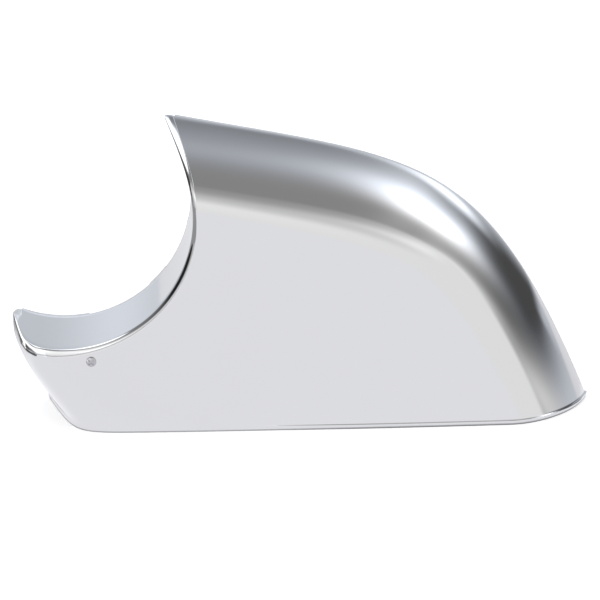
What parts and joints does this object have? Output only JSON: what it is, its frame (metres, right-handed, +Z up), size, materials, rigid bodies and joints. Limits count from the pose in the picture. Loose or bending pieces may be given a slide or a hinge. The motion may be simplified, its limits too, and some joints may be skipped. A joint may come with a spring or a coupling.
{
  "type": "wing mirror cover",
  "caption": "Bright silver wing mirror cover: a thin moulded shell with a rounded shoulder, a straight hemmed base and a round scoop where the mirror foot passes.",
  "frame": {"origin": "middle of the box of the whole part, on the plane of its lower edge", "axes": "+X along the cover towards its rounded end, +Y from the front face towards the open back, +Z up from the hemmed base"},
  "size_m": [0.2312, 0.0631, 0.1159],
  "materials": {
    "plated_shell": "bright silver plating on moulded plastic, a little satin",
    "screw_steel": "zinc-plated steel"
  },
  "bodies": {
    "root": {"cover": "plated_shell", "fixing_screw": "screw_steel"}
  },
  "joints": []
}
